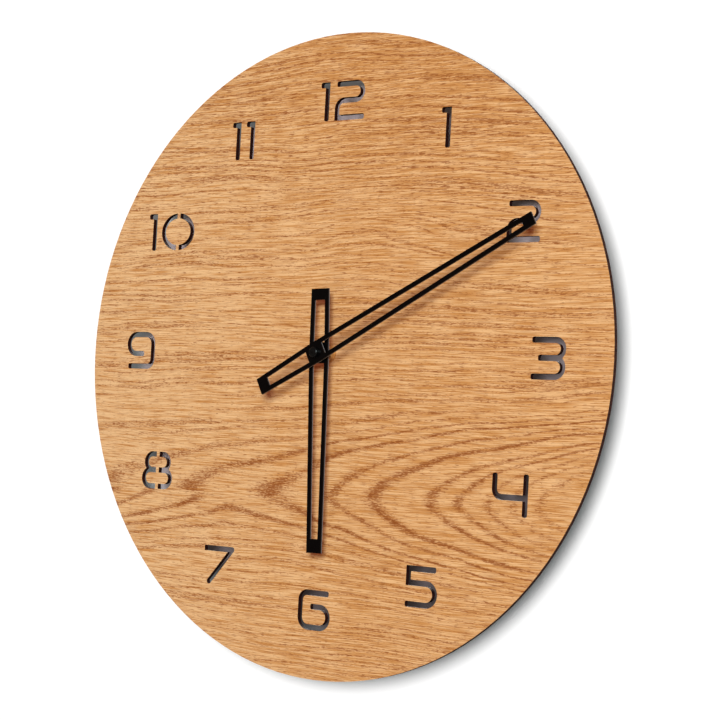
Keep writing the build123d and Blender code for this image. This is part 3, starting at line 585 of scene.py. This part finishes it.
def turned_piece(name, outline, middle, finish, body):
    """Spins an outline of (place along X, radius) points about the line along X through the middle."""
    mesh = bmesh.new()
    points = [mesh.verts.new((along, middle.y, middle.z + radius)) for along, radius in outline]
    for first, second in zip(points, points[1:]):
        mesh.edges.new((first, second))
    bmesh.ops.spin(
        mesh, geom=mesh.verts[:] + mesh.edges[:], cent=middle, axis=(1, 0, 0), angle=2 * pi,
        steps=spin_steps, use_merge=True,
    )
    made = placed(name, mesh, finish, body)
    rounded_off(made)
    made.data.set_sharp_from_angle(angle=radians(sharp_angle))
    return made


def dry_cell():
    """The cell: a steel can with rounded shoulders and a raised positive end, in a printed film."""
    low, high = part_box("battery")
    middle = (low + high) / 2
    radius = (high.y - low.y) / 2
    can_radius = radius - sleeve_thickness
    can_end = high.x - nub_length
    can = turned_piece(
        "cell_can",
        [
            (low.x, 0), (low.x, can_radius - can_shoulder),
            (low.x + can_rounding, can_radius - can_rounding),
            (low.x + can_shoulder, can_radius), (can_end - can_shoulder, can_radius),
            (can_end - can_rounding, can_radius - can_rounding), (can_end, can_radius - can_shoulder),
            (can_end, nub_radius + can_rounding), (can_end + can_rounding, nub_radius),
            (high.x - can_rounding, nub_radius), (high.x, nub_radius - can_rounding), (high.x, 0),
        ],
        middle, cell_steel, "clock",
    )
    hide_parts("battery")
    start = low.x + sleeve_setback
    end = can_end - sleeve_setback
    turned_piece(
        "cell_wrap",
        [
            (start, can_radius - can_shoulder / 2), (start, radius - sleeve_thickness / 2),
            (start + sleeve_thickness, radius), (end - sleeve_thickness, radius),
            (end, radius - sleeve_thickness / 2), (end, can_radius - can_shoulder / 2),
        ],
        middle, cell_wrap(), "clock",
    )


def bush_thread():
    """The thread on the end of the bush that stands out of the nut, spun as a helix."""
    nut_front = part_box("dial_nut")[0].y
    bush_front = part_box("front_case")[0].y
    crest = bush_radius + thread_proud
    turns = (nut_front - bush_front) / thread_pitch - 1
    start = nut_front - thread_pitch / 2
    mesh = bmesh.new()
    corners = [
        mesh.verts.new((crest - thread_depth, start + thread_pitch / 2, 0)),
        mesh.verts.new((crest, start, 0)),
        mesh.verts.new((crest - thread_depth, start - thread_pitch / 2, 0)),
    ]
    end_face = mesh.faces.new(corners)
    bmesh.ops.spin(
        mesh, geom=[end_face], cent=(0, 0, 0), axis=(0, 1, 0),
        dvec=(0, -thread_pitch / thread_steps, 0),
        angle=-2 * pi * turns, steps=round(turns * thread_steps),
    )
    placed("bush_thread", mesh, finishes["case_plastic"], "clock")


def camera():
    """The camera at the photograph's place."""
    middle = Vector((0, dial_face, 0))
    place = middle + dial_radius * Vector((camera_right, -camera_out, -camera_drop))
    aim = middle + dial_radius * Vector((aim_right, 0, -aim_drop))
    data = bpy.data.cameras.new("camera")
    data.sensor_width = sensor_width
    data.lens = lens_length
    made = bpy.data.objects.new("camera", data)
    turned = (aim - place).to_track_quat("-Z", "Y").to_matrix().to_4x4()
    rolled = Matrix.Rotation(radians(camera_roll), 4, "Z")
    made.matrix_world = Matrix.Translation(place) @ turned @ rolled
    bpy.context.collection.objects.link(made)
    bpy.context.scene.camera = made


def wall_paper(name, glow):
    """White wall paint, which shows from the room and lets the view through from behind."""
    paint = Finish(name, Base_Color=paper_white, Roughness=paper_roughness)
    paint.set("Emission_Color", glow)
    paint.set("Emission_Strength", 1)
    behind = paint.node("NewGeometry").outputs["Backfacing"]
    clear = paint.node("BsdfTransparent").outputs[0]
    mixed = paint.node("MixShader", behind, paint.shader.outputs[0], clear)
    paint.feed(paint.tree.nodes["Material Output"].inputs["Surface"], mixed.outputs[0])
    return paint


def shaded_paper():
    """The wall paint behind the dial: painted shade at the lower right, and more glow near the dial's
    rim.
    """
    paint = wall_paper("shaded_paper", shade_glow)
    x, _, z = paint.places()
    # Painted shade: the paint is darker towards the lower right
    climb = paint.math("MULTIPLY_ADD", x, painted_shade_foot_slant, z)
    above_painted_shade = paint.smooth(climb, *painted_shade_foot_zone)
    paint.set("Base_Color", paint.blend(above_painted_shade, painted_shade_foot, paper_white))
    near_rim = paint.smooth(paint.from_axis(x, z), *shade_rim_zone)
    paint.set("Emission_Color", paint.blend(near_rim, shade_glow, shade_rim_glow))
    return paint


def studio():
    """A wall that the clock hangs on, which sweeps into a pale floor."""
    mesh = bmesh.new()
    top = mesh.verts.new((-wall_half_width, wall_gap, wall_top))
    foot = mesh.verts.new((-wall_half_width, wall_gap, floor_level + cove_radius))
    mesh.edges.new((top, foot))
    centre = (0, wall_gap - cove_radius, floor_level + cove_radius)
    swept = bmesh.ops.spin(
        mesh, geom=[foot], cent=centre, axis=(1, 0, 0), angle=radians(-90), steps=cove_steps
    )
    toe = [item for item in swept["geom_last"] if isinstance(item, bmesh.types.BMVert)]
    front = bmesh.ops.extrude_vert_indiv(mesh, verts=toe)["verts"]
    bmesh.ops.translate(mesh, verts=front, vec=(0, -floor_reach, 0))
    widened = bmesh.ops.extrude_edge_only(mesh, edges=mesh.edges[:])["geom"]
    far_side = [item for item in widened if isinstance(item, bmesh.types.BMVert)]
    bmesh.ops.translate(mesh, verts=far_side, vec=(2 * wall_half_width, 0, 0))
    mesh.normal_update()
    turned_away = [
        face for face in mesh.faces if face.normal.y > level_tilt or face.normal.z < -level_tilt
    ]
    bmesh.ops.reverse_faces(mesh, faces=turned_away)
    made = linked("studio", mesh, wall_paper("wall_paper", wall_glow).material)
    rounded_off(made)
    return made


def shaded_wall():
    """The piece of wall in the dial's shade, lit by what is thrown to and fro behind the dial."""
    mesh = bmesh.new()
    bmesh.ops.create_circle(mesh, cap_ends=True, segments=spin_steps, radius=shade_radius)
    bmesh.ops.rotate(mesh, verts=mesh.verts, matrix=Matrix.Rotation(radians(90), 3, "X"))
    bmesh.ops.translate(mesh, verts=mesh.verts, vec=(0, wall_gap / 2, 0))
    made = linked("shaded_wall", mesh, shaded_paper().material)
    return made


def softbox(name, place, width, power, tint):
    """A round soft light that shines on the middle of the clock."""
    data = bpy.data.lights.new(name, "AREA")
    data.shape = "DISK"
    data.size = width
    data.energy = power
    data.color = tint
    made = bpy.data.objects.new(name, data)
    made.location = place
    made.rotation_euler = (-Vector(place)).to_track_quat("-Z", "Y").to_euler()
    made.visible_camera = False
    bpy.context.collection.objects.link(made)
    return made


def listed(state, *things):
    """A light's list that takes in these things only, or leaves only these out."""
    made = bpy.data.collections.new("light_list")
    for thing in things:
        made.objects.link(thing)
    for entry in made.collection_objects:
        entry.light_linking.link_state = state
    return made


def lights(wall, shade):
    """The key light, a warm fill on the board, two lights for the wall alone, and one from behind."""
    key_light = softbox("key_light", *key_box)
    key_light.light_linking.receiver_collection = listed("EXCLUDE", wall, shade)
    warm_fill = softbox("warm_fill", *fill_box)
    warmed = [frame["nodes"][name] for name in warmed_nodes]
    warm_fill.light_linking.receiver_collection = listed("INCLUDE", *warmed)
    passed = [frame["nodes"][name] for name in over_dial]
    warm_fill.light_linking.blocker_collection = listed("EXCLUDE", *passed)
    wall_light = softbox("wall_light", *wall_box)
    wall_light.light_linking.receiver_collection = listed("INCLUDE", wall)
    wall_light.data.cycles.max_bounces = 0
    slot_light = softbox("slot_light", *slot_box)
    slot_light.light_linking.receiver_collection = listed("INCLUDE", shade)
    slot_light.data.cycles.max_bounces = 0
    back_light = softbox("back_light", *back_box)
    back_light.light_linking.blocker_collection = listed("EXCLUDE", wall, shade)
    back_light.data.cycles.max_bounces = 0


def ambience():
    """Even light from all round, in front of a pale background."""
    world = bpy.data.worlds.new("room")
    world.use_nodes = True
    tree = world.node_tree
    light = tree.nodes["Background"]
    light.inputs["Color"].default_value = room_tint
    light.inputs["Strength"].default_value = room_strength
    shown = tree.nodes.new("ShaderNodeBackground")
    shown.inputs["Color"].default_value = paper_white
    path = tree.nodes.new("ShaderNodeLightPath")
    mixed = tree.nodes.new("ShaderNodeMixShader")
    tree.links.new(path.outputs["Is Camera Ray"], mixed.inputs[0])
    tree.links.new(light.outputs[0], mixed.inputs[1])
    tree.links.new(shown.outputs[0], mixed.inputs[2])
    tree.links.new(mixed.outputs[0], tree.nodes["World Output"].inputs["Surface"])
    bpy.context.scene.world = world


cell_steel = rolled_steel("cell_steel", grey(0.65), grey(0.49), 0.28)
finishes = {
    "oak_board": oak_veneer(),
    "black_metal": turned_metal("black_metal", grey(0.0015), grey(0.004), 0.2, 0.0),
    "brass": turned_metal("brass", (0.62, 0.33, 0.11, 1), (0.42, 0.20, 0.06, 1), 0.4, 0.35),
    "rubber": moulded_plastic("rubber", grey(0.012), grey(0.026), 0.5, 0.85),
    "case_plastic": moulded_plastic("case_plastic", grey(0.011), grey(0.021), 0.35, 0.5),
    "knob_plastic": moulded_plastic("knob_plastic", grey(0.04), grey(0.07), 0.25, 0.42),
    "wheel_plastic": moulded_plastic(
        "wheel_plastic", (0.62, 0.60, 0.54, 1), (0.72, 0.70, 0.64, 1), 0.2, 0.38
    ),
    "bridge_plastic": moulded_plastic("bridge_plastic", grey(0.07), grey(0.11), 0.3, 0.5),
    "steel": rolled_steel("steel", grey(0.58), grey(0.42), 0.3),
    "plated_steel": rolled_steel("plated_steel", (0.74, 0.72, 0.68, 1), (0.60, 0.58, 0.55, 1), 0.2),
    "ferrite": moulded_plastic("ferrite", grey(0.020), grey(0.045), 0.12, 0.5),
    "copper_wire": enamelled_wire(),
    "circuit_laminate": paper_laminate(),
    "chip_resin": moulded_plastic("chip_resin", grey(0.008), grey(0.016), 1.6, 0.16),
    "cell_can": cell_steel,
}
for hand in ("hour_hand", "minute_hand"):
    frame["nodes"][hand].material_slots[0].material = black_acrylic(hand)
for subpart in frame["record"]["subparts"]:
    for slot in frame["nodes"][subpart["node"]].material_slots:
        slot.material = finishes.get(subpart["material_slot"], slot.material)

dry_cell()
bush_thread()
camera()
lights(studio(), shaded_wall())
ambience()
bpy.context.scene.view_settings.view_transform = "Standard"
